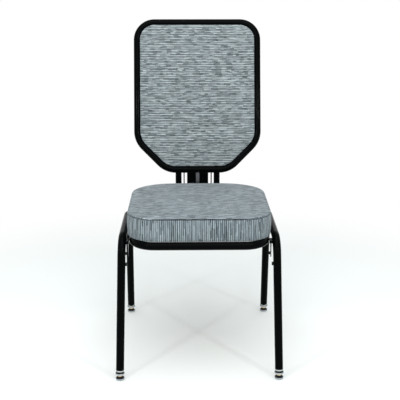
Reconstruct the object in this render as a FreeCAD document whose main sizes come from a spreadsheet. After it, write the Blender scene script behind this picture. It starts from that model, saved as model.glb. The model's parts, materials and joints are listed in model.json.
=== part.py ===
"""Stacking chair with a sprung back, as a parametric FreeCAD document.

Millimetres, +Z up, the sitter faces -Y and the sitter's left is +X.  The origin is on the
floor under the middle of the chair's box.  Each sub-part is one labelled object whose sizes
are bound to the sheet "dims", and is written to parts/LABEL.step.
"""
import FreeCAD, Part
import math
import os
import Sketcher
from FreeCAD import Vector

DIMENSIONS = {
    # side frames: front leg, rail and rear leg bent from one tube
    "tube_od": 22.2,
    "tube_wall": 1.6,
    "rail_gap": 2.4,
    "rail_drop": 5.0,
    "rail_front_in": 31.64,
    "rail_rear_in": 80.14,
    "leg_lean": 1.6,
    "front_rake": 7.0,
    "rear_rake": 21.0,
    "front_bend_r": 50.0,
    "rear_bend_r": 80.0,
    "tube_end_z": 28.0,
    # seat: loop under the board, board, cushion
    "seat_bottom_z": 393.0,
    "seat_half_w": 195.5,
    "seat_front_y": -260.0,
    "seat_rear_y": 140.0,
    "seat_front_r": 80.0,
    "seat_rear_r": 112.0,
    "seat_band": 62.0,
    "seat_crown": 5.0,
    "seat_crown_slope": 72.0,
    "board_t": 12.0,
    "board_inset": 3.0,
    "loop_side_in": 16.5,
    "loop_nose": 1.0,
    "loop_rear_in": 38.0,
    "loop_front_r": 60.0,
    "loop_rear_r": 50.0,
    "butt_gap": 0.6,
    "splice_len": 40.0,
    "fit_gap": 0.1,
    # spacers and gussets between the loop and the side frames
    "spacer_len": 24.0,
    "spacer_high": 8.0,
    "front_spacer_in": 49.0,
    "rear_spacer_in": 13.5,
    "gusset_t": 2.5,
    "gusset_drop": 38.0,
    # brackets that hold the seat board
    "bracket_w": 26.0,
    "bracket_len": 28.0,
    "bracket_t": 3.0,
    "front_bracket_in": 75.0,
    "rear_bracket_in": 39.5,
    "screw_d": 4.8,
    "screw_grip": 12.0,
    "screw_head_d": 9.5,
    "screw_head_t": 3.0,
    # pivot of the back
    "pivot_in": 64.5,
    "pivot_clear": 0.7,
    "cross_side": 20.0,
    "cross_wall": 1.6,
    "ear_x": 100.0,
    "ear_t": 4.0,
    "ear_half_w": 14.0,
    "shaft_d": 10.0,
    "running_gap": 0.05,
    "hub_od": 22.0,
    "bush_od": 14.0,
    "bush_len": 26.0,
    "bush_flange_d": 20.0,
    "bush_flange_t": 1.5,
    "end_play": 0.5,
    "hex_af": 17.0,
    "bolt_head_t": 6.4,
    "nut_t": 9.0,
    "spring_wire": 2.8,
    "spring_gap": 1.5,
    "spring_turns": 6.0,
    "spring_pitch": 3.3,
    "spring_leg": 24.0,
    # uprights: round tubes, on-edge webs and flat bars, all on one bent line
    "upright_gap": 4.5,
    "upright_bend_r": 45.0,
    "upright_od": 19.0,
    "upright_wall": 1.5,
    "upright_x": 59.2,
    "bar_x": 19.2,
    "bar_w": 27.4,
    "bar_t": 5.0,
    "web_x": 42.0,
    "web_t": 3.5,
    "web_deep": 20.0,
    "tie_half_w": 31.0,
    "tie_t": 3.0,
    "tie_gap": 0.9,
    "tie_high": 44.0,
    # stops of the back
    "recline_range": 8.0,
    "lever_half_w": 20.0,
    "lever_len": 44.0,
    "lever_t": 5.0,
    "shelf_t": 4.0,
    "buffer_d": 16.0,
    "buffer_reach": 36.0,
    "stop_gap": 0.4,
    # back: loop, boards and pads in a plane that leans back
    "back_rise": 100.8,
    "back_tilt": 15.5,
    "back_half_w": 185.4,
    "back_high": 454.8,
    "back_chamfer": 90.0,
    "back_top_r": 53.0,
    "back_low_r": 69.0,
    "panel_t": 5.0,
    "panel_gap": 0.3,
    "pad_band": 6.5,
    "pad_crown": 8.0,
    "pad_slope": 58.0,
    "rear_band": 7.0,
    "rear_crown": 3.0,
    "tab_len": 29.0,
    "tab_w": 24.0,
    "tab_t": 3.0,
    "low_tab_y": 150.0,
    "high_tab_y": 380.0,
    "tab_hole_in": 28.0,
    "back_screw_d": 4.0,
    "back_head_d": 8.0,
    "back_head_t": 2.4,
    "back_grip": 4.0,
    "pocket_gap": 1.0,
    # glides
    "plug_len": 22.0,
    "ring_t": 3.0,
    "flange_top_z": 20.8,
    "flange_bottom_z": 16.4,
    "flange_r": 13.0,
    "neck_r": 7.5,
    "neck_bottom_z": 11.8,
    "stem_r": 3.0,
    "ball_r": 5.0,
    "ball_z": 7.5,
    "ball_gap": 0.3,
    "ball_crown": 4.5,
    "ball_shoulder": 3.5,
    "socket_top_z": 10.2,
    "socket_top_r": 8.0,
    "socket_low_r": 11.4,
    "cup_top_z": 5.6,
    "cup_r": 12.2,
    "cup_wall": 0.9,
    "cup_lift": 0.8,
    "sole_r": 9.5,
    # stacking bumpers
    "bumper_d": 10.0,
    "bumper_t": 3.5,
    "front_bumper_drop": 65.0,
    "rear_bumper_drop": 158.0,
}

# sizes that follow from the ones above, as formulas on the same sheet
FORMULAS = {
    "rail_x": "seat_half_w + rail_gap + tube_od / 2",
    "rail_z": "seat_bottom_z - rail_drop",
    "front_foot_y": "seat_front_y + rail_front_in - rail_z * tan(front_rake)",
    "rear_foot_y": "seat_rear_y - rail_rear_in + rail_z * tan(rear_rake)",
    "loop_half_w": "seat_half_w - loop_side_in",
    "loop_front_y": "seat_front_y - loop_nose",
    "loop_rear_y": "seat_rear_y - loop_rear_in",
    "pivot_y": "loop_rear_y - pivot_in",
    "spring_mean_r": "hub_od / 2 + spring_gap + spring_wire / 2",
    "pivot_drop": "cross_side / 2 + pivot_clear + spring_mean_r + spring_wire / 2",
    "front_spacer_y": "loop_front_y + front_spacer_in",
    "rear_spacer_y": "pivot_y - rear_spacer_in",
    "front_bracket_y": "loop_front_y + front_bracket_in",
    "rear_bracket_y": "pivot_y - rear_bracket_in",
    "upright_y": "seat_rear_y + upright_gap + upright_od / 2",
    "back_z": "seat_bottom_z + back_rise",
    "front_bumper_z": "rail_z - front_bumper_drop",
    "rear_bumper_z": "rail_z - rear_bumper_drop",
}

# lengths worked out from the sheet, as expressions
LOOP_Z = "(dims.seat_bottom_z - dims.tube_od / 2)"
PIVOT_Z = "(" + LOOP_Z + " - dims.pivot_drop)"
EAR_INNER = "(dims.ear_x - dims.ear_t / 2)"
HUB_HALF = "(" + EAR_INNER + " - dims.end_play - dims.bush_flange_t)"
CROSS_LOW = "(" + LOOP_Z + " - dims.cross_side / 2)"
LEG_DOWN = "((dims.rail_z - dims.tube_end_z) / cos(dims.leg_lean))"
TUBE_ID = "(dims.tube_od - 2 * dims.tube_wall)"
GLIDE_X = "(dims.rail_x + (dims.rail_z - dims.tube_end_z) * tan(dims.leg_lean))"
GLIDE_FRONT_Y = "(dims.front_foot_y + dims.tube_end_z * tan(dims.front_rake))"
GLIDE_REAR_Y = "(dims.rear_foot_y - dims.tube_end_z * tan(dims.rear_rake))"
LEVER_TOP = "(" + PIVOT_Z + " + dims.lever_t / 2)"
SHELF_LOW = "(" + LOOP_Z + " - dims.shelf_t)"
PANEL_FRONT = "(dims.panel_t / 2)"
TAB_REACH = "(dims.back_half_w - sqrt((dims.tube_od / 2) ^ 2 - (dims.panel_t / 2) ^ 2))"
PAD_INSET = "(dims.tube_od / 2 + dims.panel_gap)"
SIDES = (("left", 1), ("right", -1))
LEGS = (
    ("front", GLIDE_FRONT_Y, "dims.front_rake", 1),
    ("rear", GLIDE_REAR_Y, "dims.rear_rake", -1),
)

doc = FreeCAD.newDocument("stacking_chair")
dims = doc.addObject("Spreadsheet::Sheet", "dims")
cells = DIMENSIONS | {alias: "=" + formula for alias, formula in FORMULAS.items()}
for row, (alias, content) in enumerate(cells.items(), 1):
    dims.set(f"A{row}", alias)
    dims.set(f"B{row}", str(content))
    dims.setAlias(f"B{row}", alias)
doc.recompute()

nodes = {}


def value(expression):
    """The number that an expression on the sheet gives now."""
    result = dims.evalExpression(str(expression))
    return float(getattr(result, "Value", result))


def bind(thing, **sizes):
    """Bind properties of an object to expressions; dots are written as double underscores."""
    for name, expression in sizes.items():
        thing.setExpression(name.replace("__", "."), str(expression))


def place(thing, x="0", y="0", z="0", turn=""):
    """Bind an object's Placement to a point and, if given, to a rotation expression."""
    rotation = turn or "rotation(vector(0; 0; 1); 0)"
    thing.setExpression("Placement", f"placement(vector({x}; {y}; {z}); {rotation})")


def keep(label, thing):
    """Name a sub-part and list it for export."""
    thing.Label = label
    nodes[label] = thing
    return thing


def new_body(label, listed=True):
    body = doc.addObject("PartDesign::Body", label)
    body.Label = label
    body.AllowCompound = True
    if listed:
        keep(label, body)
    return body


def new_sketch(body, role, offset="0"):
    """A sketch on one of the body's origin planes, moved along its normal."""
    plane = next(item for item in body.Origin.OriginFeatures if item.Role == role)
    sketch = body.newObject("Sketcher::SketchObject", body.Label + "_sketch")
    sketch.AttachmentSupport = [(plane, "")]
    sketch.MapMode = "FlatFace"
    bind(sketch, AttachmentOffset__Base__z=offset)
    return sketch


def fix_point(sketch, geometry, which, x, y):
    """Tie a point of the sketch to two expressions, measured from the sketch's origin."""
    for kind, expression in (("DistanceX", x), ("DistanceY", y)):
        rule = Sketcher.Constraint(kind, -1, 1, geometry, which, value(expression))
        bind(sketch, **{f"Constraints[{sketch.addConstraint(rule)}]": expression})


def add_circle(sketch, x, y, diameter):
    centre = Vector(value(x), value(y), 0)
    ring = sketch.addGeometry(Part.Circle(centre, Vector(0, 0, 1), value(diameter) / 2), False)
    fix_point(sketch, ring, 3, x, y)
    rule = sketch.addConstraint(Sketcher.Constraint("Diameter", ring, value(diameter)))
    bind(sketch, **{f"Constraints[{rule}]": diameter})


def add_outline(sketch, corners, closed=True):
    """Straight runs through the corners (x, y, radius), each radius a tangent arc.

    The corners are construction points tied to the sheet; a radius of None is sharp.
    """
    points = [Vector(value(x), value(y), 0) for x, y, _ in corners]
    count = len(points)
    enter = list(points)
    leave = list(points)
    arcs = {}
    for i, (_, _, radius) in enumerate(corners):
        if radius is None:
            continue
        back = (points[i - 1] - points[i]).normalize()
        ahead = (points[(i + 1) % count] - points[i]).normalize()
        half = back.getAngle(ahead) / 2
        size = value(radius)
        enter[i] = points[i] + back * (size / math.tan(half))
        leave[i] = points[i] + ahead * (size / math.tan(half))
        arcs[i] = (points[i] + (back + ahead).normalize() * (size / math.sin(half)), size)
    runs = count if closed else count - 1
    lines = []
    for i in range(runs):
        run = Part.LineSegment(leave[i], enter[(i + 1) % count])
        lines.append(sketch.addGeometry(run, False))
    for i, (x, y, radius) in enumerate(corners):
        before = lines[i - 1] if closed or i > 0 else None
        after = lines[i] if i < runs else None
        corner = sketch.addGeometry(Part.Point(points[i]), True)
        fix_point(sketch, corner, 1, x, y)
        if radius is None:
            for line, end in ((before, 2), (after, 1)):
                if line is not None:
                    sketch.addConstraint(Sketcher.Constraint("Coincident", line, end, corner, 1))
            continue
        add_corner_arc(sketch, arcs[i], (enter[i], leave[i]), (before, after, corner), radius)


def add_corner_arc(sketch, circle, ends, around, radius):
    """The tangent arc of one rounded corner, between the runs before and after it."""
    centre, size = circle
    first, last = (math.atan2(end.y - centre.y, end.x - centre.x) for end in ends)
    anticlockwise = (last - first) % math.tau < math.pi
    if not anticlockwise:
        first, last = last, first
    whole = Part.Circle(centre, Vector(0, 0, 1), size)
    arc = sketch.addGeometry(Part.ArcOfCircle(whole, first, last), False)
    entry, leaving = (1, 2) if anticlockwise else (2, 1)
    before, after, corner = around
    sketch.addConstraint(Sketcher.Constraint("Tangent", before, 2, arc, entry))
    sketch.addConstraint(Sketcher.Constraint("Tangent", arc, leaving, after, 1))
    rule = sketch.addConstraint(Sketcher.Constraint("Radius", arc, size))
    bind(sketch, **{f"Constraints[{rule}]": radius})
    for line in (before, after):
        sketch.addConstraint(Sketcher.Constraint("PointOnObject", corner, 1, line))


def rectangle(x_low, x_high, y_low, y_high):
    return [(x_low, y_low, None), (x_high, y_low, None), (x_high, y_high, None), (x_low, y_high, None)]


def add_pad(body, sketch, length, middle=False, backwards=False, slope=None):
    pad = body.newObject("PartDesign::Pad", body.Label + "_pad")
    pad.Profile = sketch
    pad.Midplane = middle
    pad.Reversed = backwards
    bind(pad, Length=length)
    if slope:
        bind(pad, TaperAngle=slope)
    doc.recompute()
    return pad


def add_pocket(body, sketch, length=None, backwards=False):
    """Cut a sketch out of the body: right through, or to a length."""
    before = body.Shape.Volume
    pocket = body.newObject("PartDesign::Pocket", body.Label + "_pocket")
    pocket.Profile = sketch
    pocket.Reversed = backwards
    if length is None:
        pocket.Type = "ThroughAll"
        pocket.Midplane = True
    else:
        bind(pocket, Length=length)
    doc.recompute()
    if not body.Shape.Volume < before:
        raise RuntimeError(body.Label + ": the pocket cuts nothing")
    return pocket


def add_tube(body, role, corners, outer, bore):
    """A bent tube: a round section carried along a path of straight runs and arcs."""
    path = new_sketch(body, role)
    add_outline(path, corners, closed=False)
    doc.recompute()
    for kind, diameter in (("AdditivePipe", outer), ("SubtractivePipe", bore)):
        section = body.newObject("Sketcher::SketchObject", body.Label + "_section")
        section.AttachmentSupport = [(path, "Edge1")]
        section.MapMode = "NormalToEdge"
        add_circle(section, "0", "0", diameter)
        pipe = body.newObject("PartDesign::" + kind, body.Label + "_pipe")
        pipe.Profile = section
        pipe.Spine = (path, [])
        doc.recompute()


def plate(label, role, outlines, start, thickness, holes=()):
    """A flat plate, or several alike, with round holes (x, y, diameter)."""
    body = new_body(label)
    sketch = new_sketch(body, role, start)
    for outline in outlines:
        add_outline(sketch, outline)
    for hole in holes:
        add_circle(sketch, *hole)
    add_pad(body, sketch, thickness)
    return body


def turned(label, profile, listed=True):
    """A solid of revolution about Z from a closed profile of (radius, height, corner)."""
    body = new_body(label, listed)
    sketch = new_sketch(body, "XZ_Plane")
    add_outline(sketch, profile)
    revolution = body.newObject("PartDesign::Revolution", label + "_turned")
    revolution.Profile = sketch
    revolution.ReferenceAxis = (sketch, ["V_Axis"])
    revolution.Angle = 360
    doc.recompute()
    return body


def cylinder(label, radius, height, x="0", y="0", z="0", turn="", listed=True):
    rod = doc.addObject("Part::Cylinder", label)
    bind(rod, Radius=radius, Height=height)
    place(rod, x, y, z, turn)
    return keep(label, rod) if listed else rod


def combine(label, kind, *links, listed=True):
    """A Part boolean or compound of other objects."""
    joined = doc.addObject("Part::" + kind, label)
    if kind == "Cut":
        joined.Base, joined.Tool = links
    elif kind == "Compound":
        joined.Links = links
    else:
        joined.Shapes = links
    doc.recompute()
    return keep(label, joined) if listed else joined


ALONG_X = "rotation(vector(0; 1; 0); 90)"


def make_side_frames():
    """One bent tube a side: its plane leans so that the feet stand wider than the rails."""
    corner_front = "dims.front_foot_y + dims.rail_z * tan(dims.front_rake)"
    corner_rear = "dims.rear_foot_y - dims.rail_z * tan(dims.rear_rake)"
    path = [
        (GLIDE_FRONT_Y, "-" + LEG_DOWN, None),
        (corner_front, "0", "dims.front_bend_r"),
        (corner_rear, "0", "dims.rear_bend_r"),
        (GLIDE_REAR_Y, "-" + LEG_DOWN, None),
    ]
    for side, sign in SIDES:
        body = new_body(side + "_side_frame")
        add_tube(body, "YZ_Plane", path, "dims.tube_od", TUBE_ID)
        lean = f"rotation(vector(0; 1; 0); {-sign} * dims.leg_lean)"
        place(body, f"{sign} * dims.rail_x", "0", "dims.rail_z", lean)


def seat_outline(inset="0"):
    """The seat's plan, rounded in front and rounder behind, drawn in by an inset."""
    half = f"(dims.seat_half_w - {inset})"
    front = f"(dims.seat_front_y + {inset})"
    rear = f"(dims.seat_rear_y - {inset})"
    front_r = f"(dims.seat_front_r - {inset})"
    rear_r = f"(dims.seat_rear_r - {inset})"
    return [
        ("-" + half, front, front_r),
        (half, front, front_r),
        (half, rear, rear_r),
        ("-" + half, rear, rear_r),
    ]


def make_seat_loop():
    """The bent loop under the board; its ends butt behind, over a splice plug."""
    path = [
        ("dims.butt_gap / 2", "dims.loop_rear_y", None),
        ("dims.loop_half_w", "dims.loop_rear_y", "dims.loop_rear_r"),
        ("dims.loop_half_w", "dims.loop_front_y", "dims.loop_front_r"),
        ("-dims.loop_half_w", "dims.loop_front_y", "dims.loop_front_r"),
        ("-dims.loop_half_w", "dims.loop_rear_y", "dims.loop_rear_r"),
        ("-dims.butt_gap / 2", "dims.loop_rear_y", None),
    ]
    body = new_body("seat_frame_tube")
    add_tube(body, "XY_Plane", path, "dims.tube_od", TUBE_ID)
    place(body, z=LOOP_Z)
    splice_r = TUBE_ID + " / 2 - dims.fit_gap"
    cylinder("seat_frame_splice", splice_r, "dims.splice_len",
             "-dims.splice_len / 2", "dims.loop_rear_y", LOOP_Z, ALONG_X)


def spacer_ends():
    """Where a spacer starts and ends across the gap between the loop and a rail."""
    inner = "(dims.loop_half_w + dims.tube_od / 2)"
    outer = "(dims.rail_x - dims.tube_od / 2)"
    return inner, outer


def make_spacers():
    """Four short bars weld the seat loop to the side frames."""
    inner, outer = spacer_ends()
    half = "dims.spacer_len / 2"
    levels = {
        "front": ("dims.front_spacer_y", "(" + LOOP_Z + " - dims.spacer_high / 4)"),
        "rear": ("dims.rear_spacer_y", "((" + LOOP_Z + " + dims.rail_z) / 2)"),
    }
    for end, (y, middle) in levels.items():
        outlines = [
            rectangle(f"{sign} * {inner}", f"{sign} * {outer}", f"{y} - {half}", f"{y} + {half}")
            for _, sign in SIDES
        ]
        plate(end + "_spacers", "XY_Plane", outlines, middle + " - dims.spacer_high / 2", "dims.spacer_high")


def make_gussets():
    """A thin triangular web hangs below each front spacer, beside the leg."""
    inner, outer = spacer_ends()
    top = "(" + LOOP_Z + " - dims.spacer_high * 3 / 4)"
    front = "(dims.front_spacer_y - dims.spacer_len / 2)"
    rear = "(dims.front_spacer_y + dims.spacer_len / 2)"
    outline = [
        (front, top, None),
        (front, f"{top} - dims.gusset_drop", None),
        (rear, top, None),
    ]
    for side, sign in SIDES:
        start = f"{sign} * ({inner} + {outer}) / 2 - dims.gusset_t / 2"
        plate(side + "_gusset", "YZ_Plane", [outline], start, "dims.gusset_t")


def bracket_spots():
    """The screw places of the seat board: (x, y) by side and end."""
    inset = "sqrt((dims.tube_od / 2) ^ 2 - (dims.tube_od / 2 - dims.bracket_t) ^ 2) + dims.fit_gap"
    reach = f"(dims.loop_half_w - ({inset}) - dims.bracket_len / 2)"
    return [
        (f"{sign} * {reach}", y)
        for _, sign in SIDES
        for y in ("dims.front_bracket_y", "dims.rear_bracket_y")
    ]


def make_seat_brackets():
    spots = bracket_spots()
    across = "dims.bracket_len / 2"
    along = "dims.bracket_w / 2"
    outlines = [
        rectangle(f"{x} - {across}", f"{x} + {across}", f"{y} - {along}", f"{y} + {along}")
        for x, y in spots
    ]
    holes = [(x, y, "dims.screw_d") for x, y in spots]
    low = "dims.seat_bottom_z - dims.bracket_t"
    plate("seat_brackets", "XY_Plane", outlines, low, "dims.bracket_t", holes)


def make_seat_screws():
    """Pan-head screws driven up through the brackets into the board."""
    body = new_body("seat_screws")
    head_low = "(dims.seat_bottom_z - dims.bracket_t - dims.screw_head_t)"
    heads = new_sketch(body, "XY_Plane", head_low)
    shanks = new_sketch(body, "XY_Plane", "dims.seat_bottom_z - dims.bracket_t")
    for x, y in bracket_spots():
        add_circle(heads, x, y, "dims.screw_head_d")
        add_circle(shanks, x, y, "dims.screw_d")
    add_pad(body, heads, "dims.screw_head_t")
    add_pad(body, shanks, "dims.screw_grip")


def make_seat():
    """Plywood board with blind screw holes, and the cushion that wraps down over its edge."""
    board = new_body("seat_board")
    face = new_sketch(board, "XY_Plane", "dims.seat_bottom_z")
    add_outline(face, seat_outline("dims.board_inset"))
    add_pad(board, face, "dims.board_t")
    holes = new_sketch(board, "XY_Plane", "dims.seat_bottom_z")
    for x, y in bracket_spots():
        add_circle(holes, x, y, "dims.screw_d")
    add_pocket(board, holes, "dims.screw_grip - dims.bracket_t", backwards=True)

    cushion = new_body("seat_cushion")
    band = new_sketch(cushion, "XY_Plane", "dims.seat_bottom_z")
    add_outline(band, seat_outline())
    add_pad(cushion, band, "dims.seat_band")
    seam = new_sketch(cushion, "XY_Plane", "dims.seat_bottom_z + dims.seat_band")
    add_outline(seam, seat_outline())
    add_pad(cushion, seam, "dims.seat_crown", slope="-dims.seat_crown_slope")
    recess = new_sketch(cushion, "XY_Plane", "dims.seat_bottom_z")
    add_outline(recess, seat_outline("dims.board_inset"))
    add_pocket(cushion, recess, "dims.board_t", backwards=True)


def make_pivot_carrier():
    """Square cross tube between the loop's sides, with two ears that carry the shaft."""
    body = new_body("pivot_cross_tube")
    sketch = new_sketch(body, "YZ_Plane")
    for side in ("dims.cross_side", "(dims.cross_side - 2 * dims.cross_wall)"):
        half = side + " / 2"
        add_outline(sketch, rectangle(
            f"dims.pivot_y - {half}", f"dims.pivot_y + {half}",
            f"{LOOP_Z} - {half}", f"{LOOP_Z} + {half}"))
    add_pad(body, sketch, "2 * dims.loop_half_w - dims.tube_od", middle=True)

    low = PIVOT_Z + " - dims.ear_half_w"
    front = "dims.pivot_y - dims.ear_half_w"
    rear = "dims.pivot_y + dims.ear_half_w"
    round_r = "dims.ear_half_w - dims.fit_gap"
    outline = [
        (front, CROSS_LOW, None),
        (front, low, round_r),
        (rear, low, round_r),
        (rear, CROSS_LOW, None),
    ]
    bore = [("dims.pivot_y", PIVOT_Z, "dims.shaft_d")]
    for side, sign in SIDES:
        start = f"{sign} * dims.ear_x - dims.ear_t / 2"
        plate(side + "_pivot_ear", "YZ_Plane", [outline], start, "dims.ear_t", bore)


def add_hexagon(sketch, x, y, across_flats):
    """A regular hexagon, flats up and down, tied to its width across the flats."""
    corner_r = f"({across_flats}) / 2 / cos(30)"
    add_outline(sketch, [
        (f"{x} + {corner_r} * cos({60 * k})", f"{y} + {corner_r} * sin({60 * k})", None)
        for k in range(6)
    ])


def make_shaft():
    """A hex bolt through both ears, and its lock nut."""
    outer = "(dims.ear_x + dims.ear_t / 2)"
    shaft = new_body("pivot_shaft")
    head = new_sketch(shaft, "YZ_Plane", f"-{outer} - dims.bolt_head_t")
    add_hexagon(head, "dims.pivot_y", PIVOT_Z, "dims.hex_af")
    add_pad(shaft, head, "dims.bolt_head_t")
    shank = new_sketch(shaft, "YZ_Plane", "-" + outer)
    add_circle(shank, "dims.pivot_y", PIVOT_Z, "dims.shaft_d")
    add_pad(shaft, shank, f"2 * {outer} + dims.nut_t + dims.end_play")

    nut = new_body("pivot_lock_nut")
    face = new_sketch(nut, "YZ_Plane", outer)
    add_hexagon(face, "dims.pivot_y", PIVOT_Z, "dims.hex_af")
    add_circle(face, "dims.pivot_y", PIVOT_Z, "dims.shaft_d")
    add_pad(nut, face, "dims.nut_t")


def make_hub():
    """The hub sleeve turns on the shaft in two flanged bushes."""
    hub = new_body("pivot_hub")
    face = new_sketch(hub, "YZ_Plane", "-" + HUB_HALF)
    add_circle(face, "dims.pivot_y", PIVOT_Z, "dims.hub_od")
    add_circle(face, "dims.pivot_y", PIVOT_Z, "dims.bush_od + 2 * dims.fit_gap")
    add_pad(hub, face, "2 * " + HUB_HALF)

    profile = [
        ("dims.shaft_d / 2 + dims.running_gap", "0", None),
        ("dims.bush_flange_d / 2", "0", None),
        ("dims.bush_flange_d / 2", "dims.bush_flange_t", None),
        ("dims.bush_od / 2", "dims.bush_flange_t", None),
        ("dims.bush_od / 2", "dims.bush_flange_t + dims.bush_len", None),
        ("dims.shaft_d / 2 + dims.running_gap", "dims.bush_flange_t + dims.bush_len", None),
    ]
    for side, sign in SIDES:
        bush = turned(side + "_pivot_bush", profile)
        start = f"{sign} * ({HUB_HALF} + dims.bush_flange_t)"
        place(bush, start, "dims.pivot_y", PIVOT_Z, f"rotation(vector(0; 1; 0); {-90 * sign})")


def make_springs():
    """A torsion spring round each end of the hub; one leg bears behind the cross tube."""
    length = "(dims.spring_turns * dims.spring_pitch)"
    start = f"({HUB_HALF} - {length} - dims.spring_wire)"
    for side, sign in SIDES:
        body = new_body(side + "_return_spring")
        section = new_sketch(body, "XY_Plane")
        add_circle(section, "0", "dims.spring_mean_r", "dims.spring_wire")
        coil = body.newObject("PartDesign::AdditiveHelix", side + "_spring_coil")
        coil.Profile = section
        coil.ReferenceAxis = (section, ["H_Axis"])
        coil.Mode = "pitch-height-angle"
        coil.LeftHanded = sign > 0
        coil.Reversed = sign < 0
        bind(coil, Pitch="dims.spring_pitch", Height=length)
        doc.recompute()
        leg = new_sketch(body, "XY_Plane")
        add_circle(leg, "0", "dims.spring_mean_r", "dims.spring_wire")
        add_pad(body, leg, "dims.spring_leg")
        place(body, f"{sign} * {start}", "dims.pivot_y", PIVOT_Z)


def cope_ends(body):
    """Cut an upright's ends to the hub and to the back frame's tube, which they are welded to."""
    cuts = new_sketch(body, "YZ_Plane")
    add_circle(cuts, "dims.pivot_y", PIVOT_Z, "dims.hub_od + 2 * dims.fit_gap")
    add_circle(cuts, "dims.upright_y", "dims.back_z", "dims.tube_od + 2 * dims.fit_gap")
    add_pocket(body, cuts)


def bent_bar(label, x, width, deep):
    """A bar of rectangular section on the uprights' line: forward under the seat, then up."""
    half = f"({deep}) / 2"
    outline = [
        ("dims.pivot_y", f"{PIVOT_Z} - {half}", None),
        (f"dims.upright_y + {half}", f"{PIVOT_Z} - {half}", f"dims.upright_bend_r + {half}"),
        (f"dims.upright_y + {half}", "dims.back_z", None),
        (f"dims.upright_y - {half}", "dims.back_z", None),
        (f"dims.upright_y - {half}", f"{PIVOT_Z} + {half}", f"dims.upright_bend_r - {half}"),
        ("dims.pivot_y", f"{PIVOT_Z} + {half}", None),
    ]
    body = new_body(label)
    sketch = new_sketch(body, "YZ_Plane")
    add_outline(sketch, outline)
    add_pad(body, sketch, width, middle=True)
    cope_ends(body)
    place(body, x)


def make_uprights():
    path = [
        ("dims.pivot_y", PIVOT_Z, None),
        ("dims.upright_y", PIVOT_Z, "dims.upright_bend_r"),
        ("dims.upright_y", "dims.back_z", None),
    ]
    for side, sign in SIDES:
        tube = new_body(side + "_upright_tube")
        add_tube(tube, "YZ_Plane", path, "dims.upright_od", "dims.upright_od - 2 * dims.upright_wall")
        cope_ends(tube)
        place(tube, f"{sign} * dims.upright_x")
        bent_bar(side + "_flat_bar", f"{sign} * dims.bar_x", "dims.bar_w", "dims.bar_t")
        bent_bar(side + "_web_plate", f"{sign} * dims.web_x", "dims.web_t", "dims.web_deep")
    high = "dims.back_z - dims.tube_od / 2 - dims.tie_gap"
    outline = rectangle("-dims.tie_half_w", "dims.tie_half_w", high + " - dims.tie_high", high)
    rear = "-(dims.upright_y + dims.bar_t / 2 + dims.tie_t)"
    plate("tie_plate", "XZ_Plane", [outline], rear, "dims.tie_t")


def make_stops():
    """Rubber buffers that hold the sprung back at rest and stop it fully reclined."""
    lever = new_body("stop_lever")
    face = new_sketch(lever, "XY_Plane", f"{PIVOT_Z} - dims.lever_t / 2")
    add_outline(face, rectangle(
        "-dims.lever_half_w", "dims.lever_half_w", "dims.pivot_y - dims.lever_len", "dims.pivot_y"))
    add_pad(lever, face, "dims.lever_t")
    cut = new_sketch(lever, "YZ_Plane")
    add_circle(cut, "dims.pivot_y", PIVOT_Z, "dims.hub_od + 2 * dims.fit_gap")
    add_pocket(lever, cut)

    front = "dims.pivot_y - dims.cross_side / 2"
    shelf = rectangle("-dims.lever_half_w", "dims.lever_half_w", "dims.pivot_y - dims.lever_len", front)
    plate("buffer_shelf", "XY_Plane", [shelf], SHELF_LOW, "dims.shelf_t")

    rise = "(dims.buffer_reach + dims.buffer_d / 2) * sin(dims.recline_range)"
    tip = f"({LEVER_TOP} + {rise} + dims.stop_gap)"
    cylinder("recline_buffer", "dims.buffer_d / 2", f"{SHELF_LOW} - {tip}",
             y="dims.pivot_y - dims.buffer_reach", z=tip)

    body = new_body("rest_buffers")
    low = f"({PIVOT_Z} + dims.bar_t / 2 + dims.stop_gap)"
    sketch = new_sketch(body, "XY_Plane", low)
    for _, sign in SIDES:
        add_circle(sketch, f"{sign} * dims.bar_x", "dims.loop_rear_y", "dims.buffer_d")
    add_pad(body, sketch, f"{LOOP_Z} - dims.tube_od / 2 - {low}")


def back_outline(inset):
    """The back's outline, tapered below at 45 degrees, drawn in from the tube's line."""
    shift = f"({inset}) * tan(22.5)"
    half = f"(dims.back_half_w - ({inset}))"
    low_half = f"(dims.back_half_w - dims.back_chamfer - {shift})"
    side_low = f"(dims.back_chamfer + {shift})"
    low_r = f"(dims.back_low_r - ({inset}))"
    top_r = f"(dims.back_top_r - ({inset}))"
    top = f"(dims.back_high - ({inset}))"
    right_half = [
        (low_half, inset, low_r),
        (half, side_low, low_r),
        (half, top, top_r),
    ]
    left_half = [("-" + x, y, radius) for x, y, radius in reversed(right_half)]
    return right_half + left_half


def lean_back(thing):
    """Put something drawn flat into the back's leaning plane."""
    place(thing, y="dims.upright_y", z="dims.back_z",
          turn="rotation(vector(1; 0; 0); 90 - dims.back_tilt)")


def make_back_frame():
    """The bent loop round the back; its ends butt below, over a splice plug."""
    body = new_body("back_frame_tube")
    ends = ("dims.butt_gap / 2", "0", None), ("-dims.butt_gap / 2", "0", None)
    add_tube(body, "XY_Plane", [ends[0], *back_outline("0"), ends[1]], "dims.tube_od", TUBE_ID)
    lean_back(body)
    splice_r = TUBE_ID + " / 2 - dims.fit_gap"
    cylinder("back_frame_splice", splice_r, "dims.splice_len",
             "-dims.splice_len / 2", "dims.upright_y", "dims.back_z", ALONG_X)


def tab_spots():
    """The screw places of the back panel, in the back's plane."""
    return [
        (f"{sign} * (dims.back_half_w - dims.tab_hole_in)", y, sign)
        for _, sign in SIDES
        for y in ("dims.low_tab_y", "dims.high_tab_y")
    ]


def tab_outline(y, sign, margin="0"):
    """One tab's rectangle, from the tube's inner side inwards, grown by a margin."""
    outer = f"{sign} * {TAB_REACH}"
    inner = f"{sign} * ({TAB_REACH} - dims.tab_len - {margin})"
    half = f"(dims.tab_w / 2 + {margin})"
    return rectangle(outer, inner, f"{y} - {half}", f"{y} + {half}")


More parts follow.
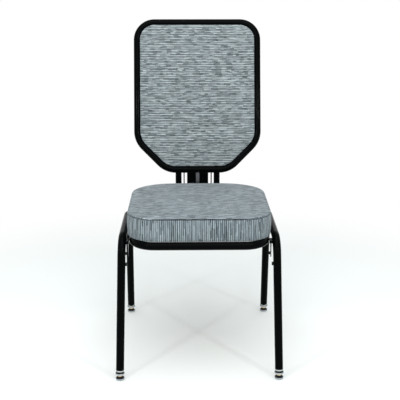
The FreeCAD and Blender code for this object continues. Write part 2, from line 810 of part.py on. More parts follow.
def make_back_panels():
    """The inner panel, its tabs and screws, and the upholstered pads in front and behind."""
    panel = new_body("back_inner_panel")
    face = new_sketch(panel, "XY_Plane", "-dims.panel_t / 2")
    add_outline(face, back_outline(PAD_INSET))
    for x, y, _ in tab_spots():
        add_circle(face, x, y, "dims.back_screw_d")
    add_pad(panel, face, "dims.panel_t")

    low = "-dims.panel_t / 2 - dims.tab_t"
    tabs = plate("back_tabs", "XY_Plane", [tab_outline(y, sign) for _, y, sign in tab_spots()],
                 low, "dims.tab_t", [(x, y, "dims.back_screw_d") for x, y, _ in tab_spots()])

    screws = new_body("back_screws")
    heads = new_sketch(screws, "XY_Plane", f"{low} - dims.back_head_t")
    shanks = new_sketch(screws, "XY_Plane", low)
    for x, y, _ in tab_spots():
        add_circle(heads, x, y, "dims.back_head_d")
        add_circle(shanks, x, y, "dims.back_screw_d")
    add_pad(screws, heads, "dims.back_head_t")
    add_pad(screws, shanks, "dims.tab_t + dims.back_grip")

    pad = new_body("back_pad")
    band = new_sketch(pad, "XY_Plane", PANEL_FRONT)
    add_outline(band, back_outline(PAD_INSET))
    add_pad(pad, band, "dims.pad_band")
    seam = new_sketch(pad, "XY_Plane", f"{PANEL_FRONT} + dims.pad_band")
    add_outline(seam, back_outline(PAD_INSET))
    add_pad(pad, seam, "dims.pad_crown", slope="-dims.pad_slope")

    rear = new_body("back_rear_pad")
    band = new_sketch(rear, "XY_Plane", "-" + PANEL_FRONT)
    add_outline(band, back_outline(PAD_INSET))
    add_pad(rear, band, "dims.rear_band", backwards=True)
    seam = new_sketch(rear, "XY_Plane", f"-{PANEL_FRONT} - dims.rear_band")
    add_outline(seam, back_outline(PAD_INSET))
    add_pad(rear, seam, "dims.rear_crown", backwards=True, slope="-dims.pad_slope")
    recess = new_sketch(rear, "XY_Plane", "-" + PANEL_FRONT)
    for _, y, sign in tab_spots():
        add_outline(recess, tab_outline(y, sign, "dims.pocket_gap"))
    add_pocket(rear, recess, "dims.tab_t + dims.back_head_t + dims.pocket_gap / 2")

    for thing in (panel, tabs, screws, pad, rear):
        lean_back(thing)


def make_leg_inserts():
    """A plug and angled collar in each leg's end, and the ring between collar and tube.

    The collar is cut level underneath, so that the glide below it stands upright.
    """
    plugs = []
    rings = []
    for end, y, rake, way in LEGS:
        for side, sign in SIDES:
            name = f"{end}_{side}_"
            x = f"{sign} * {GLIDE_X}"
            lean = f"rotation(vector(0; 1; 0); {-sign} * dims.leg_lean)"
            turn = f"{lean} * rotation(vector(1; 0; 0); {-way} * {rake})"
            down = turn + " * rotation(vector(1; 0; 0); 180)"
            seat = (x, y, "dims.tube_end_z")
            plug = cylinder(name + "plug", TUBE_ID + " / 2 - dims.fit_gap", "dims.plug_len",
                            *seat, turn, listed=False)
            neck = cylinder(name + "neck", TUBE_ID + " / 2 - dims.fit_gap", "dims.ring_t",
                            *seat, down, listed=False)
            long_collar = cylinder(name + "long_collar", "dims.tube_od / 2", "dims.tube_end_z",
                                   *seat, down, listed=False)
            ring_space = cylinder(name + "ring_space", "dims.tube_od", "dims.ring_t",
                                  *seat, down, listed=False)
            below = doc.addObject("Part::Box", name + "below")
            bind(below, Length="4 * dims.tube_od", Width="4 * dims.tube_od", Height="dims.tube_end_z")
            place(below, f"{x} - 2 * dims.tube_od", f"{y} - 2 * dims.tube_od",
                  "dims.flange_top_z - dims.tube_end_z")
            collar = combine(name + "collar", "Cut", long_collar, below, listed=False)
            collar = combine(name + "collar_low", "Cut", collar, ring_space, listed=False)
            plugs.append(combine(name + "insert", "MultiFuse", plug, neck, collar, listed=False))
            disc = cylinder(name + "disc", "dims.tube_od / 2", "dims.ring_t", *seat, down, listed=False)
            core = cylinder(name + "core", TUBE_ID + " / 2", "dims.ring_t", *seat, down, listed=False)
            rings.append(combine(name + "ring", "Cut", disc, core, listed=False))
    combine("glide_inserts", "Compound", *plugs)
    combine("glide_rings", "Compound", *rings)


def glide_spots():
    """The centres of the four glides: where each leg's line meets the level of the flange."""
    for end, _, rake, way in LEGS:
        y = f"(dims.{end}_foot_y + {way} * dims.flange_top_z * tan({rake}))"
        for side, sign in SIDES:
            x = f"{sign} * (dims.rail_x + (dims.rail_z - dims.flange_top_z) * tan(dims.leg_lean))"
            yield f"{end}_{side}", x, y


def make_glides():
    """Flange, ball-ended stud, and the socket, cup and sole that tilt on the ball."""
    inner_r = "(dims.ball_r + dims.ball_gap)"
    mouth_r = f"sqrt({inner_r} ^ 2 - (dims.socket_top_z - dims.ball_z) ^ 2)"
    flange_profile = [
        ("dims.stem_r", "dims.flange_bottom_z", None),
        ("dims.flange_r", "dims.flange_bottom_z", "dims.cup_wall"),
        ("dims.flange_r", "dims.flange_top_z", "dims.cup_wall"),
        ("dims.stem_r", "dims.flange_top_z", None),
    ]
    socket_profile = [
        (inner_r, "dims.ball_z", None),
        (inner_r, "dims.cup_top_z", None),
        ("dims.socket_low_r", "dims.cup_top_z", None),
        ("dims.socket_top_r", "dims.socket_top_z", None),
        (mouth_r, "dims.socket_top_z", None),
    ]
    cup_profile = [
        (inner_r, "dims.cup_lift + dims.cup_wall", None),
        (inner_r, "dims.cup_lift", None),
        ("dims.cup_r", "dims.cup_lift", "dims.cup_wall"),
        ("dims.cup_r", "dims.cup_top_z", None),
        (inner_r, "dims.cup_top_z", None),
        (inner_r, "dims.cup_top_z - dims.cup_wall", None),
        ("dims.cup_r - dims.cup_wall", "dims.cup_top_z - dims.cup_wall", None),
        ("dims.cup_r - dims.cup_wall", "dims.cup_lift + dims.cup_wall", None),
    ]
    sole_profile = [
        ("0", "0", None),
        ("dims.sole_r", "0", None),
        ("dims.sole_r", "dims.cup_lift", None),
        (inner_r, "dims.cup_lift", None),
        (inner_r, "dims.cup_lift + dims.cup_wall", None),
        ("0", "dims.cup_lift + dims.cup_wall", None),
    ]
    stud_profile = [
        ("0", "dims.ball_z - dims.ball_r", None),
        ("dims.ball_r", "dims.ball_z - dims.ball_r", "dims.ball_crown"),
        ("dims.ball_r", "dims.ball_z", "dims.ball_r / 3"),
        ("dims.stem_r", "dims.ball_z + dims.ball_shoulder", None),
        ("dims.stem_r", "dims.neck_bottom_z", None),
        ("dims.neck_r", "dims.neck_bottom_z", None),
        ("dims.neck_r", "dims.flange_bottom_z", None),
        ("dims.stem_r", "dims.flange_bottom_z", None),
        ("dims.stem_r", "dims.flange_top_z", None),
        ("0", "dims.flange_top_z", None),
    ]
    flanges = []
    studs = []
    for name, x, y in glide_spots():
        for group, profile, part in ((flanges, flange_profile, "flange"), (studs, stud_profile, "stud")):
            group.append(turned(f"{name}_{part}", profile, listed=False))
            place(group[-1], x, y)
        for part, profile in (("socket", socket_profile), ("cup", cup_profile), ("sole", sole_profile)):
            place(turned(f"{name}_glide_{part}", profile), x, y)
    combine("glide_flanges", "Compound", *flanges)
    combine("glide_studs", "Compound", *studs)


def make_bumpers():
    """Small buttons that keep stacked frames apart: inside the front legs, outside the rear."""
    buttons = []
    for end, _, rake, way in LEGS:
        z = f"dims.{end}_bumper_z"
        y = f"(dims.{end}_foot_y + {way} * {z} * tan({rake}))"
        centre = f"(dims.rail_x + (dims.rail_z - {z}) * tan(dims.leg_lean))"
        out = "(dims.tube_od / 2 + dims.fit_gap + dims.bumper_d / 2 * tan(dims.leg_lean))"
        surface = f"{centre} - {out} - dims.bumper_t" if way > 0 else f"{centre} + {out}"
        for side, sign in SIDES:
            x = surface if sign > 0 else f"-({surface}) - dims.bumper_t"
            buttons.append(cylinder(f"{end}_{side}_button", "dims.bumper_d / 2", "dims.bumper_t",
                                    x, y, z, ALONG_X, listed=False))
    combine("stacking_bumpers", "Compound", *buttons)


make_side_frames()
make_seat_loop()
make_spacers()
make_gussets()
make_seat_brackets()
make_seat_screws()
make_seat()
make_pivot_carrier()
make_shaft()
make_hub()
make_springs()
make_uprights()
make_stops()
make_back_frame()
make_back_panels()
make_leg_inserts()
make_glides()
make_bumpers()
doc.recompute()

for thing in doc.Objects:
    if "Invalid" in thing.State or "Error" in thing.State:
        raise RuntimeError(f"{thing.Label} failed: {thing.State}")
for label, thing in nodes.items():
    if thing.Shape.isNull() or not thing.Shape.isValid() or not thing.Shape.Solids:
        raise RuntimeError(f"{label} has no valid solid")

os.makedirs("parts", exist_ok=True)
for label, thing in nodes.items():
    thing.Shape.exportStep(os.path.join("parts", label + ".step"))
print(len(nodes), "sub-parts written")
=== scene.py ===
"""Looks of the stacking chair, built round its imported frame.

Metres, +Z up, the sitter faces -Y and the sitter's left is +X.  Upholstery is worked out here as
surfaces; the metalwork and the small parts are the frame's own nodes with finishes of their own.
"""
import json
import math

import bpy
import numpy as np
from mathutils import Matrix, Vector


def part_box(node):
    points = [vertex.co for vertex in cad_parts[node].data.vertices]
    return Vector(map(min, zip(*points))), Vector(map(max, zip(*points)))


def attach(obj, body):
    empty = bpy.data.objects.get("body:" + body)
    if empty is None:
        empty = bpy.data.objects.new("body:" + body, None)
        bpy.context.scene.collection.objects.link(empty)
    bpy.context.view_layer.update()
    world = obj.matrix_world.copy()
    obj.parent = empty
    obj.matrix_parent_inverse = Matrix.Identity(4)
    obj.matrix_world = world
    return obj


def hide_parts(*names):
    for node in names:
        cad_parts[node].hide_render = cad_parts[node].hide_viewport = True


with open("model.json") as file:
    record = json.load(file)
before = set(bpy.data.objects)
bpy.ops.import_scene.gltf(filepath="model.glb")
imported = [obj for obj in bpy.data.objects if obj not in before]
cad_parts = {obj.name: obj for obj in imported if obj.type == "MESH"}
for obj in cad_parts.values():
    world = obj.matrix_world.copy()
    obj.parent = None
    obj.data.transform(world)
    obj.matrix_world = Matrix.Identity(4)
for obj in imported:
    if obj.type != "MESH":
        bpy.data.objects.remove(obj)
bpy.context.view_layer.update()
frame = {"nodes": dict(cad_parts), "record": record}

MM = 0.001
TUBE_R = 11.1 * MM
SEAT_FRONT_R = 80 * MM
SEAT_REAR_R = 112 * MM
SEAT_TOP_REAR_R = 130 * MM
SEAT_FALL = 0.075
SEAT_TAPER = 0.010
BACK_TILT = math.radians(15.5)
BACK_CHAMFER = 90 * MM
BACK_TOP_R = 53 * MM
BACK_LOW_R = 69 * MM
CLOTH_MAP = "cloth"
STRIP_DRAW = 0.5


# ---------------------------------------------------------------- surfaces

def unit(vectors):
    return vectors / np.linalg.norm(vectors, axis=-1, keepdims=True)


def outline(corners, count):
    """Evenly spaced points round a closed outline, the way out at each, and the lengths along it.

    corners are (x, y, radius), anticlockwise.  Each corner is an arc, centre + radius * (cos a,
    sin a), between the points where it touches the runs on each side: radius / tan(half the
    corner's angle) from the corner.  The count starts in the middle of the last run.
    """
    corners = np.array(corners, float)
    points, radius = corners[:, :2], corners[:, 2]
    before = unit(np.roll(points, 1, 0) - points)
    after = unit(np.roll(points, -1, 0) - points)
    half = np.arccos(np.sum(before * after, 1)) / 2
    reach = radius / np.tan(half)
    centre = points + unit(before + after) * (radius / np.sin(half))[:, None]
    entry = points + before * reach[:, None] - centre
    first_angle = np.arctan2(entry[:, 1], entry[:, 0])
    turn = math.pi - 2 * half
    run = np.linalg.norm(np.roll(points, -1, 0) - points, axis=1) - reach - np.roll(reach, -1)
    lengths = np.stack([radius * turn, run], 1).ravel()
    ends = np.cumsum(lengths)
    along = np.arange(count + 1) / count * ends[-1]
    spot = (along[:-1] - run[-1] / 2) % ends[-1]
    piece = np.searchsorted(ends, spot, side="right")
    local = spot - (ends - lengths)[piece]
    corner = piece // 2
    on_arc = piece % 2 == 0
    angle = first_angle[corner] + np.where(on_arc, local / radius[corner], turn[corner])
    out = np.stack([np.cos(angle), np.sin(angle)], 1)
    on_run = points[corner] + after[corner] * (reach[corner] + local)[:, None]
    path = np.where(on_arc[:, None], centre[corner] + out * radius[corner, None], on_run)
    return path, out, along


def softened(rows, rounds=3):
    """Cut the corners of a profile: each step takes the points at 1/4 and 3/4 of every run."""
    rows = np.array(rows, float)
    for _ in range(rounds):
        first, last = rows[:-1], rows[1:]
        cut = np.stack([0.75 * first + 0.25 * last, 0.25 * first + 0.75 * last], 1)
        rows = np.concatenate([rows[:1], cut.reshape(-1, rows.shape[1]), rows[-1:]])
    return rows


def carried(path, out, rows, middle):
    """A profile carried round an outline, as a grid of points (row, place, xyz).

    Row (inset, height, share) is the outline moved in by inset, then drawn towards the middle
    until only that share of its distance is left: middle + share * (path - inset * out - middle).
    path is one outline for all the rows, or one outline a row.
    """
    inset, height, share = rows.T[:, :, None, None]
    flat = middle + share * (path - inset * out - middle)
    return np.concatenate([flat, np.broadcast_to(height, flat.shape[:2] + (1,))], 2)


def closed_shell(name, grid, cloth):
    """A mesh from a grid that wraps round and ends in a point at each end of its rows.

    cloth is the map (row, place, uv) of the faces' corners, one place longer than the grid, and
    two deep: [0] for the lower edge of each row of faces and [1] for its upper edge.
    """
    rows, count = grid.shape[:2]
    poles = grid[[0, -1]].mean(1)
    points = np.concatenate([grid.reshape(-1, 3), poles])
    here = np.arange(count)
    there = (here + 1) % count
    row = np.arange(rows - 1)[:, None] * count
    quads = np.stack([row + here, row + there, row + count + there, row + count + here], 2)
    low_fan = np.stack([there, here, np.full(count, rows * count)], 1)
    top = (rows - 1) * count
    high_fan = np.stack([top + here, top + there, np.full(count, rows * count + 1)], 1)
    faces = quads.reshape(-1, 4).tolist() + low_fan.tolist() + high_fan.tolist()
    mesh = bpy.data.meshes.new(name)
    mesh.from_pydata(points.tolist(), [], faces)
    low, high = cloth
    corners = np.stack([low[:, :-1], low[:, 1:], high[:, 1:], high[:, :-1]], 2).reshape(-1, 2)
    fan_points = [poles[0][None, :2].repeat(count, 0), poles[1][None, :2].repeat(count, 0)]
    low_corners = np.stack([low[0, 1:], low[0, :-1], fan_points[0]], 1).reshape(-1, 2)
    high_corners = np.stack([high[-1, :-1], high[-1, 1:], fan_points[1]], 1).reshape(-1, 2)
    uv = mesh.uv_layers.new(name=CLOTH_MAP)
    uv.data.foreach_set("uv", np.concatenate([corners, low_corners, high_corners]).ravel())
    mesh.polygons.foreach_set("use_smooth", np.ones(len(mesh.polygons), bool))
    mesh.update()
    thing = bpy.data.objects.new(name, mesh)
    bpy.context.scene.collection.objects.link(thing)
    return thing


def cloth_map(grid, along, band):
    """The cloth's own coordinates, in metres along and across its slubs.

    Panels run across the chair, so they take (x, y).  The rows of faces in band are a strip
    turned a quarter round: they take (height, length along the outline), with the height drawn
    together so that the strip's slubs are longer.
    """
    wrapped = np.concatenate([grid, grid[:, :1]], 1)
    panel = wrapped[:, :, :2]
    height = wrapped[:, :, 2] * STRIP_DRAW
    strip = np.stack([height, np.broadcast_to(along, wrapped.shape[:2])], 2)
    in_band = np.isin(np.arange(len(grid) - 1), band)[:, None, None]
    return [np.where(in_band, strip[rows], panel[rows]) for rows in (slice(-1), slice(1, None))]


# ---------------------------------------------------------------- shader expressions

class Value:
    """A node's output.  Arithmetic on it adds Math nodes to the same material."""

    def __init__(self, finish, link):
        self.finish = finish
        self.link = link

    def math(self, operation, *others):
        values = dict(enumerate((self, *others)))
        return self.finish.node("ShaderNodeMath", {"operation": operation}, values)

    def __add__(self, other):
        return self.math("ADD", other)

    def __sub__(self, other):
        return self.math("SUBTRACT", other)

    def __mul__(self, other):
        return self.math("MULTIPLY", other)

    def __truediv__(self, other):
        return self.math("DIVIDE", other)

    def __rsub__(self, other):
        return self * -1 + other

    __radd__ = __add__
    __rmul__ = __mul__


class Finish:
    """One material and the nodes that make it up."""

    def __init__(self, name):
        self.material = bpy.data.materials.new(name)
        self.material.use_nodes = True
        self.tree = self.material.node_tree
        self.tree.nodes.clear()

    def node(self, kind, settings=None, values=None, output=0):
        """Add a node: settings first (a ramp's stops among them), then its sockets' values."""
        node = self.tree.nodes.new(kind)
        for name, setting in (settings or {}).items():
            if name == "stops":
                self.set_stops(node.color_ramp, setting)
            else:
                setattr(node, name, setting)
        for name, value in (values or {}).items():
            if isinstance(value, Value):
                self.tree.links.new(value.link, node.inputs[name])
            else:
                node.inputs[name].default_value = value
        return Value(self, node.outputs[output])

    @staticmethod
    def set_stops(ramp, stops):
        for _ in stops[2:]:
            ramp.elements.new(0.5)
        for element, (place, colour) in zip(ramp.elements, stops):
            element.position = place
            element.color = (*colour, 1)

    def parts(self, vector):
        """The x, y and z of a vector."""
        split = self.node("ShaderNodeSeparateXYZ", values={"Vector": vector}).link.node
        return [Value(self, link) for link in split.outputs]

    def vector(self, x=0.0, y=0.0, z=0.0):
        return self.node("ShaderNodeCombineXYZ", values={"X": x, "Y": y, "Z": z})

    def place(self):
        """Object coordinates."""
        return self.node("ShaderNodeTexCoord", output="Object")

    def noise(self, vector, scale=1.0, detail=2.0):
        values = {"Vector": vector, "Scale": scale, "Detail": detail}
        return self.node("ShaderNodeTexNoise", values=values)

    def dice(self, x, y):
        """A random value for each pair of whole numbers."""
        settings = {"noise_dimensions": "2D"}
        return self.node("ShaderNodeTexWhiteNoise", settings, {"Vector": self.vector(x, y)})

    def ramp(self, value, *stops):
        return self.node("ShaderNodeValToRGB", {"stops": stops}, {"Fac": value})

    def tint(self, share, first, last, kind="MIX"):
        """A mix of two colours."""
        settings = {"data_type": "RGBA", "blend_type": kind}
        return self.node("ShaderNodeMix", settings, {0: share, 6: first, 7: last}, output=2)

    def bump(self, height, depth, strength=1.0):
        values = {"Height": height, "Distance": depth, "Strength": strength}
        return self.node("ShaderNodeBump", values=values)

    def surface(self, values):
        """Close the material with a Principled shader and these socket values."""
        shader = self.node("ShaderNodeBsdfPrincipled", values=values)
        self.node_output(shader)
        return self.material

    def node_output(self, shader):
        output = self.tree.nodes.new("ShaderNodeOutputMaterial")
        self.tree.links.new(shader.link, output.inputs["Surface"])


# ---------------------------------------------------------------- finishes

def slub_cloth(name, tone_and_painted_shade):
    """Flat woven cloth: rows of thick and thin yarn, each broken into lighter and darker slubs."""
    finish = Finish(name)
    across, along, _ = finish.parts(finish.node("ShaderNodeUVMap", {"uv_map": CLOTH_MAP}))
    row_high = 2.6 * MM
    slub_long = 15 * MM
    drift = finish.noise(finish.vector(0.0, along / 0.013), detail=1.0)
    rows = along / row_high + drift * 1.2
    row = rows.math("FLOOR")
    shift = finish.dice(row, 3.0)
    length = finish.dice(row, 11.0) * 0.9 + 0.6
    cell = (across / slub_long / length + shift * 9.0).math("FLOOR")
    slub = finish.dice(cell, row) * 2.0 - 1.0
    rare = slub * slub * slub
    yarn = finish.noise(finish.vector(across / (4 * MM), along / (0.8 * MM)), detail=2.0) - 0.5
    streak = finish.noise(finish.vector(across / (22 * MM), along / (5 * MM)), detail=2.0) - 0.5
    cloud = finish.noise(finish.vector(across / 0.09, along / 0.05), detail=2.0) - 0.5
    turn = (row * 0.5).math("FRACT") * 4.0 - 1.0
    uneven = yarn * 0.42 + streak * 0.50 + cloud * 0.08
    tone = turn * 0.21 + slub * 0.11 + rare * 0.20 + uneven + 0.5
    greys = ((0.08, (0.036, 0.045, 0.049)), (0.5, (0.186, 0.214, 0.227)), (0.92, (0.49, 0.535, 0.55)))
    # The greys are scaled for each copy: the cloth's own tone, and on the seat a darker, cooler copy
    # that is painted shade.
    grey = finish.ramp(tone, *(
        (stop, tuple(part * share for part, share in zip(colour, tone_and_painted_shade))) for stop, colour in greys))
    warm = finish.dice(cell + 31.0, row + 5.0)
    mixed = finish.tint(warm * 0.35, grey, (0.34, 0.36, 0.36, 1), kind="SOFT_LIGHT")
    pick = (across / (0.9 * MM) * math.tau).math("SINE")
    rib = (rows * math.tau * 2.0).math("SINE")
    weave = pick * rib * 0.35 + slub * 0.4 + yarn * 1.2
    return finish.surface({
        "Base Color": mixed,
        "Roughness": 0.86 + yarn * 0.2,
        "Specular IOR Level": 0.25,
        "Sheen Weight": 0.12,
        "Sheen Roughness": 0.5,
        "Normal": finish.bump(weave, 0.22 * MM),
    })


def gloss_enamel(name):
    """Black powder coat: deep, glossy, with a faint orange-peel and cloudy gloss."""
    finish = Finish(name)
    place = finish.place()
    cloudy = finish.noise(place, 18.0, 3.0)
    peel = finish.noise(place, 620.0, 1.0)
    black = finish.tint(cloudy, (0.0006, 0.0010, 0.0011, 1), (0.0014, 0.0019, 0.0021, 1))
    return finish.surface({
        "Base Color": black,
        "Roughness": 0.09 + cloudy * 0.06,
        "IOR": 1.09,
        "Normal": finish.bump(peel, 0.04 * MM, 0.35),
    })


def plated(name, pale, deep, rough, lay=260.0):
    """Plated metal: fine turned lines round the axis, and a little clouding."""
    finish = Finish(name)
    place = finish.place()
    _, _, height = finish.parts(place)
    lines = finish.noise(finish.vector(height * lay * 14.0, 0.0, 0.0), 1.0, 2.0)
    cloudy = finish.noise(place, 160.0, 3.0)
    return finish.surface({
        "Base Color": finish.tint(cloudy, (*pale, 1), (*deep, 1)),
        "Metallic": 1.0,
        "Roughness": lines * 0.08 + cloudy * 0.08 + rough,
        "Normal": finish.bump(lines, 0.02 * MM, 0.5),
    })


def moulded(name, pale, deep, rough, gloss=0.5, grain=420.0):
    """Moulded plastic or rubber: fine grain and a slight unevenness in colour."""
    finish = Finish(name)
    place = finish.place()
    cloudy = finish.noise(place, 45.0, 3.0)
    fine = finish.noise(place, grain, 2.0)
    return finish.surface({
        "Base Color": finish.tint(cloudy, (*pale, 1), (*deep, 1)),
        "Roughness": fine * 0.16 + rough,
        "Specular IOR Level": gloss,
        "Normal": finish.bump(fine, 0.05 * MM, 0.6),
    })


def board(name, pale, deep, plies):
    """Sanded board: long grain on the faces and, on its edge, one band a ply."""
    finish = Finish(name)
    place = finish.place()
    x, y, z = finish.parts(place)
    warp = finish.noise(place, 9.0, 3.0)
    grain = finish.noise(finish.vector(x * 6.0 + warp * 1.5, y * 150.0, z * 150.0), 1.0, 5.0)
    band = (z * (plies * math.pi)).math("SINE").math("ABSOLUTE")
    tone = grain * 0.75 + band * 0.25
    return finish.surface({
        "Base Color": finish.tint(tone, (*pale, 1), (*deep, 1)),
        "Roughness": 0.62 + grain * 0.2,
        "Normal": finish.bump(grain, 0.12 * MM, 0.5),
    })


finishes = {
    "frame_enamel": gloss_enamel("frame_enamel"),
    # One cloth for seat and back; the seat's copy is darker and cooler as painted shade for the light
    # the back keeps off the seat.
    "seat_fabric": slub_cloth("seat_fabric", (0.78, 0.84, 0.87)),
    "back_fabric": slub_cloth("back_fabric", (0.90, 0.93, 0.935)),
    "plywood": board("plywood", (0.62, 0.46, 0.29), (0.36, 0.23, 0.12), 900.0),
    "panel_board": board("panel_board", (0.52, 0.40, 0.26), (0.33, 0.23, 0.13), 1300.0),
    "nickel_plate": plated("nickel_plate", (0.58, 0.60, 0.62), (0.32, 0.34, 0.37), 0.16),
    "brass_plate": plated("brass_plate", (0.80, 0.66, 0.42), (0.58, 0.45, 0.25), 0.20),
    "grey_nylon": moulded("grey_nylon", (0.56, 0.60, 0.59), (0.46, 0.50, 0.49), 0.40),
    "black_nylon": moulded("black_nylon", (0.006, 0.006, 0.007), (0.012, 0.012, 0.013), 0.42, 0.1),
    "zinc_steel": plated("zinc_steel", (0.60, 0.61, 0.63), (0.42, 0.43, 0.45), 0.28),
    "spring_steel": plated("spring_steel", (0.30, 0.30, 0.31), (0.16, 0.16, 0.17), 0.30),
    "buffer_rubber": moulded("buffer_rubber", (0.014, 0.014, 0.014), (0.026, 0.026, 0.025), 0.60, 0.2),
}


def finish_with(thing, slot):
    thing.data.materials.clear()
    thing.data.materials.append(finishes[slot])


for subpart in frame["record"]["subparts"]:
    finish_with(frame["nodes"][subpart["node"]], subpart["material_slot"])


# ---------------------------------------------------------------- upholstery

def centre_of(node):
    low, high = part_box(node)
    return (low + high) / 2


def upholster(thing, slot, body, node):
    """Give a padded piece its cloth, the body it rides on and the node it stands for."""
    finish_with(thing, slot)
    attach(thing, body)
    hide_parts(node)


def crown_rows(inset, height, rise, steps=26):
    """Rows from a rim in to the middle: height + rise * (1 - share ** 2.6), share from 1 to 0.03."""
    share = np.linspace(1, 0.03, steps)
    return np.stack([np.full(steps, inset), height + rise * (1 - share ** 2.6), share], 1)


def make_seat_cushion():
    """Boxed cushion: a crowned top panel sewn to an upright boxing, drawn down round the board.

    The outline turns steadily from the board's into the top panel's, whose rear corners are
    rounder: path + rise * (top_path - path).  Behind the middle, the width loses SEAT_TAPER of
    itself and the height SEAT_FALL of itself.
    """
    low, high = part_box("seat_cushion")
    half, front, rear, base = high.x, low.y, high.y, low.z
    board_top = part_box("seat_board")[1].z
    (path, out, along), (top_path, _, _) = (
        outline([
            (-half, rear, rear_r),
            (-half, front, SEAT_FRONT_R),
            (half, front, SEAT_FRONT_R),
            (half, rear, rear_r),
        ], 640)
        for rear_r in (SEAT_REAR_R, SEAT_TOP_REAR_R))
    middle = np.array([0, (front + rear) / 2])
    hollow = board_top - base + 0.2 * MM
    under = np.array([
        (3.2, hollow / MM, 0.03), (3.2, hollow / MM, 0.5), (3.2, hollow / MM, 1),
        (3.2, 6.0, 1), (3.1, 0.6, 1),
    ])
    boxing = softened([
        (3.1, 0.6, 1), (2.8, 0.1, 1), (1.0, 0.1, 1), (0.4, 1.4, 1), (-0.3, 8, 1), (-1.4, 22, 1),
        (-1.8, 34, 1), (-1.4, 46, 1), (-0.6, 55, 1), (0.0, 58.6, 1), (3.6, 59.2, 1), (4.2, 60.2, 1),
    ])
    rim = softened([
        (4.2, 60.2, 1), (3.6, 61.2, 1), (0.2, 61.6, 1), (0.2, 63.6, 1), (3.0, 65.0, 1), (12, 65.9, 1),
        (24, 66.5, 1),
    ])
    top = crown_rows(24, 66.5, 2.0)
    rows = np.concatenate([under[:-1], boxing[:-1], rim[:-1], top])
    rows[:, 0] *= MM
    rows[:, 1] = rows[:, 1] * MM + base
    band = np.arange(len(under) - 1, len(under) + len(boxing) - 2)
    rise = np.clip((rows[:, 1, None, None] - base) / (high.z - base), 0, 1)
    grid = carried(path + rise * (top_path - path), out, rows, middle)
    behind = np.clip(grid[:, :, 1] / rear, 0, 1)
    grid[:, :, 0] *= 1 - SEAT_TAPER * behind
    grid[:, :, 2] -= (grid[:, :, 2] - base) * SEAT_FALL * behind ** 2
    thing = closed_shell("seat_cover", grid, cloth_map(grid, along, band))
    upholster(thing, "seat_fabric", "frame", "seat_cushion")
    return thing


def lean_back(grid, origin):
    """Points (x, up the back, out of it) put into the leaning plane of the back."""
    x, up, out = np.moveaxis(grid, 2, 0)
    y = origin.y + up * math.sin(BACK_TILT) - out * math.cos(BACK_TILT)
    z = origin.z + up * math.cos(BACK_TILT) + out * math.sin(BACK_TILT)
    return np.stack([x, y, z], 2)


def back_outline(count):
    """The line of the back frame's tube: straight top and sides, tapered below at 45 degrees."""
    origin = centre_of("back_frame_splice")
    _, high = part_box("back_frame_tube")
    half = high.x - TUBE_R
    top = (high.z - TUBE_R - origin.z) / math.cos(BACK_TILT)
    low_half = half - BACK_CHAMFER
    path, out, along = outline([
        (low_half, 0, BACK_LOW_R),
        (half, BACK_CHAMFER, BACK_LOW_R),
        (half, top, BACK_TOP_R),
        (-half, top, BACK_TOP_R),
        (-half, BACK_CHAMFER, BACK_LOW_R),
        (-low_half, 0, BACK_LOW_R),
    ], count)
    return path, out, along, np.array([0, top / 2]), origin


def make_back_pads():
    """A crowned pad in front and a flatter one behind, both pulled in tight to the frame's tube."""
    path, out, along, middle, origin = back_outline(720)
    front = np.concatenate([
        [(12.0, 2.6, 0.03), (12.0, 2.6, 0.5)],
        softened([
            (12.0, 2.6, 1), (11.6, 2.7, 1), (11.3, 4.0, 1), (10.6, 7.2, 1), (9.2, 9.6, 1),
            (8.9, 11.4, 1), (10.4, 13.0, 1), (16, 14.4, 1), (30, 15.4, 1),
        ])[:-1],
        crown_rows(30, 15.4, 2.0),
    ])
    behind = np.concatenate([
        [(12.0, -8.4, 0.03), (12.0, -8.4, 0.5)],
        softened([
            (12.0, -8.4, 1), (10.4, -8.5, 1), (9.4, -9.4, 1), (9.6, -10.6, 1), (12, -11.4, 1),
            (20, -11.9, 1), (34, -12.2, 1),
        ])[:-1],
        crown_rows(34, -12.2, -0.8),
    ])[::-1]
    pads = (("back_cover", front, "back_pad"), ("back_rear_cover", behind, "back_rear_pad"))
    for name, rows, node in pads:
        rows = rows * (MM, MM, 1)
        grid = carried(path, out, rows, middle)
        maps = cloth_map(grid, along, [])
        thing = closed_shell(name, lean_back(grid, origin), maps)
        upholster(thing, "back_fabric", "back", node)


make_seat_cushion()
make_back_pads()


# ---------------------------------------------------------------- stage, lamps and camera

def make_floor():
    """A pale floor that keeps the chair's shadow, and runs out into the white of the backdrop."""
    finish = Finish("pale_floor")
    path = finish.node("ShaderNodeLightPath").link.node
    rays = ("Is Camera Ray", "Is Glossy Ray", "Is Transmission Ray")
    camera, glossy, clear = (Value(finish, path.outputs[ray]) for ray in rays)
    seen = (camera + glossy + clear).math("MINIMUM", 1.0)
    away = finish.node("ShaderNodeVectorMath", {"operation": "LENGTH"}, {0: finish.place()}, output=1)
    far = finish.node("ShaderNodeMapRange", {"interpolation_type": "SMOOTHSTEP"}, {
        "Value": away, "From Min": 0.75, "From Max": 1.5})
    lit = finish.node("ShaderNodeBsdfDiffuse", values={"Color": (0.86, 0.91, 0.905, 1)})
    lift = finish.node("ShaderNodeEmission", values={"Strength": seen * 0.06})
    near = finish.node("ShaderNodeAddShader", values={0: lit, 1: lift})
    white = finish.node("ShaderNodeEmission", values={"Strength": 1.0})
    finish.node_output(finish.node("ShaderNodeMixShader", values={0: far * seen, 1: near, 2: white}))
    mesh = bpy.data.meshes.new("floor")
    reach = 40.0
    corners = [(-reach, -reach, 0), (reach, -reach, 0), (reach, reach, 0), (-reach, reach, 0)]
    mesh.from_pydata(corners, [], [(0, 1, 2, 3)])
    mesh.materials.append(finish.material)
    floor = bpy.data.objects.new("floor", mesh)
    bpy.context.scene.collection.objects.link(floor)


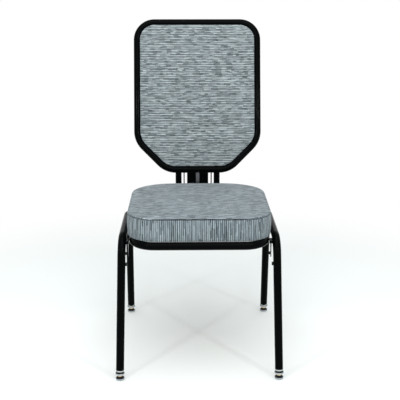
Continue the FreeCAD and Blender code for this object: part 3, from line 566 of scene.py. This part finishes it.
def make_world():
    """White as seen by the camera and in reflections, and an even grey light for the rest."""
    world = bpy.data.worlds.new("studio")
    bpy.context.scene.world = world
    world.use_nodes = True
    tree = world.node_tree
    tree.nodes.clear()
    path = tree.nodes.new("ShaderNodeLightPath")
    shown = tree.nodes.new("ShaderNodeMath")
    shown.operation = "ADD"
    tree.links.new(path.outputs["Is Camera Ray"], shown.inputs[0])
    tree.links.new(path.outputs["Is Glossy Ray"], shown.inputs[1])
    clear = tree.nodes.new("ShaderNodeMath")
    clear.operation = "ADD"
    clear.use_clamp = True
    tree.links.new(shown.outputs[0], clear.inputs[0])
    tree.links.new(path.outputs["Is Transmission Ray"], clear.inputs[1])
    strength = tree.nodes.new("ShaderNodeMapRange")
    strength.inputs["To Min"].default_value = 0.64
    strength.inputs["To Max"].default_value = 1.0
    tree.links.new(clear.outputs[0], strength.inputs["Value"])
    sky = tree.nodes.new("ShaderNodeBackground")
    sky.inputs["Color"].default_value = (1, 1, 1, 1)
    tree.links.new(strength.outputs[0], sky.inputs["Strength"])
    output = tree.nodes.new("ShaderNodeOutputWorld")
    tree.links.new(sky.outputs[0], output.inputs["Surface"])


def make_lamp(name, place, aim, size, watts):
    """A square soft lamp that faces a point."""
    lamp = bpy.data.lights.new(name, "AREA")
    lamp.size = size
    lamp.energy = watts
    thing = bpy.data.objects.new(name, lamp)
    thing.location = place
    aim = np.array(aim) - np.array(place)
    flat = math.hypot(aim[0], aim[1])
    thing.rotation_euler = (math.atan2(flat, -aim[2]), 0, math.atan2(-aim[0], aim[1]))
    bpy.context.scene.collection.objects.link(thing)


def make_camera():
    """A long lens a little above the seat, looking slightly down."""
    lens = bpy.data.cameras.new("camera")
    lens.sensor_width = 36
    lens.lens = 73.868
    camera = bpy.data.objects.new("camera", lens)
    camera.location = (-0.0303, -2.3291, 1.0781)
    camera.rotation_euler = (math.radians(74.61), 0, math.radians(-0.871))
    bpy.context.scene.collection.objects.link(camera)
    bpy.context.scene.camera = camera


make_floor()
make_world()
make_lamp("top_softbox", (0.0, -0.6, 2.5), (0, 0.1, 0.5), 2.2, 34)
make_lamp("front_softbox", (0.0, -3.0, 2.2), (0, 0, 0.6), 2.8, 25)
make_lamp("right_glint", (1.3, -1.7, 1.5), (0, 0, 0.4), 0.10, 6.0)
make_lamp("left_glint", (-1.3, -1.7, 1.5), (0, 0, 0.4), 0.10, 6.0)
make_camera()
bpy.context.scene.view_settings.view_transform = "Standard"
